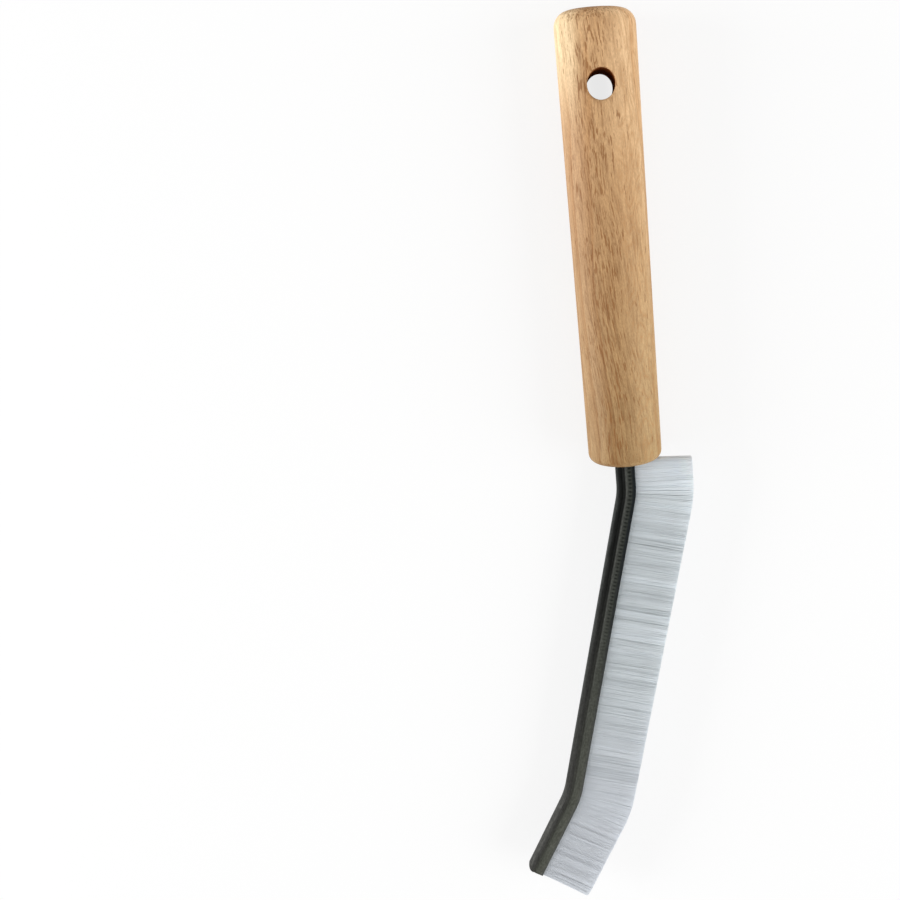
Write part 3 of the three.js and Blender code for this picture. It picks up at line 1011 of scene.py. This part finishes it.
def add_fold(shell, start, end):
    """The folded roots, packed tight inside the channel."""
    half = CAVITY_HALF - FOLD_GAP
    back = arc((WIRE_AT, 0), half, 0, -180, FOLD_POINTS)
    low, high = [MOUTH - recess for recess in FOLD_RECESS]
    top = np.array([[low, -half], [high, -half / 2], [high, half / 2], [low, half]])
    loop = np.concatenate([back, top])
    distances = np.linspace(start, end, int(end - start) + 2)
    sweep(shell, distances, [loop] * len(distances))
    return len(distances), len(loop)


def tube_spots(corner, face, rings, sides):
    """Places of a tube's face corners in a unit cell: its wall unrolled, between its two caps."""
    ring, side = np.divmod(corner, sides)
    band, quad = np.divmod(face, sides)
    wall = band < rings - 1
    turn = 2 * math.pi * side / sides
    across = np.where(wall, np.where(side == quad, quad, quad + 1) / sides, 0.5 + 0.5 * np.cos(turn))
    wall_up = CELL_CAP + (1 - 2 * CELL_CAP) * ring / (rings - 1)
    cap_up = np.where(ring > 0, 1 - CELL_CAP / 2, CELL_CAP / 2) + CAP_HALF * CELL_CAP * np.sin(turn)
    inside = np.column_stack([across, np.where(wall, wall_up, cap_up)])
    return CELL_EDGE + (1 - 2 * CELL_EDGE) * inside


def add_map(piece, fold, strands):
    """A texture map with a narrow cell for each strand, above a band for the folded roots."""
    mesh = piece.data
    corner = np.empty(len(mesh.loops), int)
    mesh.loops.foreach_get("vertex_index", corner)
    totals = np.empty(len(mesh.polygons), int)
    mesh.polygons.foreach_get("loop_total", totals)
    face = np.repeat(np.arange(len(totals)), totals)

    fold_faces = (fold[0] - 1) * fold[1] + 2
    folded = face < fold_faces
    spots = np.empty((len(corner), 2))
    spots[folded] = tube_spots(corner[folded], face[folded], *fold) * (1, FOLD_BAND)

    stops = len(STRAND_STOPS)
    strand, corner = np.divmod(corner[~folded] - fold[0] * fold[1], stops * STRAND_SIDES)
    face = (face[~folded] - fold_faces) % ((stops - 1) * STRAND_SIDES + 2)
    columns = math.ceil(math.sqrt(strands * CELL_SHAPE))
    rows = math.ceil(strands / columns)
    cell = np.column_stack([strand % columns, strand // columns])
    cell = (cell + tube_spots(corner, face, stops, STRAND_SIDES)) / (columns, rows)
    spots[~folded] = (0, FOLD_BAND) + cell * (1, 1 - FOLD_BAND)
    mesh.uv_layers.new(name="OFBake").uv.foreach_set("vector", spots.astype(np.float32).ravel())


def make_bristles():
    rng = np.random.default_rng(SEED)
    plan = strand_plan(rng)
    material = nylon()
    middle = (RUN_ENDS[1] + RUN_ENDS[2]) / 2
    borders = [TANG_LENGTH, RUN_ENDS[1], middle, RUN_ENDS[2], STRIP_END]
    names = ["neck", "upper", "lower", "tip"]
    for name, start, end in zip(names, borders, borders[1:]):
        chosen = (plan["foot"] >= start) & (plan["foot"] < end)
        part = {key: values[chosen] for key, values in plan.items()}
        shell = Shell()
        fold = add_fold(shell, max(start, FOLD_START), min(end, FOLD_END))
        fold_points = len(shell.points)
        each = add_strands(shell, strand_points(part))
        piece = add_piece("strands_" + name, shell, material, sharp=60)
        count = len(part["foot"])
        tone = np.concatenate([np.full(fold_points, FOLD_TONE), np.repeat(part["tone"], each)])
        reach = np.tile(np.repeat(STRAND_STOPS, STRAND_SIDES), count)
        keep_values(piece, "tone", tone)
        keep_values(piece, "reach", np.concatenate([np.zeros(fold_points), reach]))
        add_map(piece, fold, count)
        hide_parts("bristles_" + name)


# Stage
def add_floor():
    mesh = bpy.data.meshes.new("floor")
    corners = [(FLOOR_HALF * x, FLOOR_HALF * y, 0) for x, y in ((-1, -1), (1, -1), (1, 1), (-1, 1))]
    mesh.from_pydata(corners, [], [(0, 1, 2, 3)])
    paint = Paint("pale_floor", Roughness=0.9, Specular_IOR_Level=0.0, Emission_Color=opaque((1, 1, 1)))
    seen = seen_directly(paint)
    away = paint.add("VectorMath", {0: paint.place()}, operation="LENGTH").outputs["Value"]
    glow = paint.span(away, *FLOOR_GLOW_REACH, *FLOOR_GLOW)
    paint.drive("Emission Strength", paint.math("MULTIPLY", seen, glow))
    lit, shown = [opaque((tone, tone, tone)) for tone in (FLOOR_TONE, FLOOR_TONE_SEEN)]
    paint.drive("Base Color", paint.mix(seen, lit, shown))
    mesh.materials.append(paint.material)
    floor = bpy.data.objects.new("floor", mesh)
    bpy.context.scene.collection.objects.link(floor)


def seen_directly(nodes):
    """One where a ray comes from the camera, a glossy surface or a clear one, else zero."""
    path = nodes.add("LightPath").outputs
    shown = nodes.math("MAXIMUM", path["Is Camera Ray"], path["Is Glossy Ray"])
    return nodes.math("MAXIMUM", shown, path["Is Transmission Ray"])


def set_world():
    world = bpy.data.worlds.new("studio")
    world.use_nodes = True
    bpy.context.scene.world = world
    nodes = Nodes(world.node_tree)
    ground = nodes.tree.nodes["Background"]
    ground.inputs["Color"].default_value = opaque((1, 1, 1))
    strength = nodes.span(seen_directly(nodes), 0, 1, WORLD_LIGHT, WORLD_SEEN)
    nodes.tree.links.new(strength, ground.inputs["Strength"])


def add_light(name, place, size, power):
    light = bpy.data.lights.new(name, "AREA")
    light.size = size
    light.energy = power
    lamp = bpy.data.objects.new(name, light)
    lamp.location = place
    lamp.rotation_euler = Vector(place).to_track_quat("Z", "Y").to_euler()
    lamp.visible_camera = False
    bpy.context.scene.collection.objects.link(lamp)


def add_camera():
    data = bpy.data.cameras.new("camera")
    data.lens = LENS
    data.sensor_width = SENSOR
    data.clip_start = CAMERA_NEAR * MM
    camera = bpy.data.objects.new("camera", data)
    camera.location = NOSE + CAMERA_PLACE * MM
    camera.rotation_euler = CAMERA_TURN
    bpy.context.scene.collection.objects.link(camera)
    bpy.context.scene.camera = camera


add_camera()
set_world()
add_floor()
add_light("key", *KEY_LAMP)
add_light("fill", *FILL_LAMP)
make_handle()
make_channel()
make_wire()
make_adhesive()
make_bristles()
bpy.context.scene.view_settings.view_transform = "Standard"
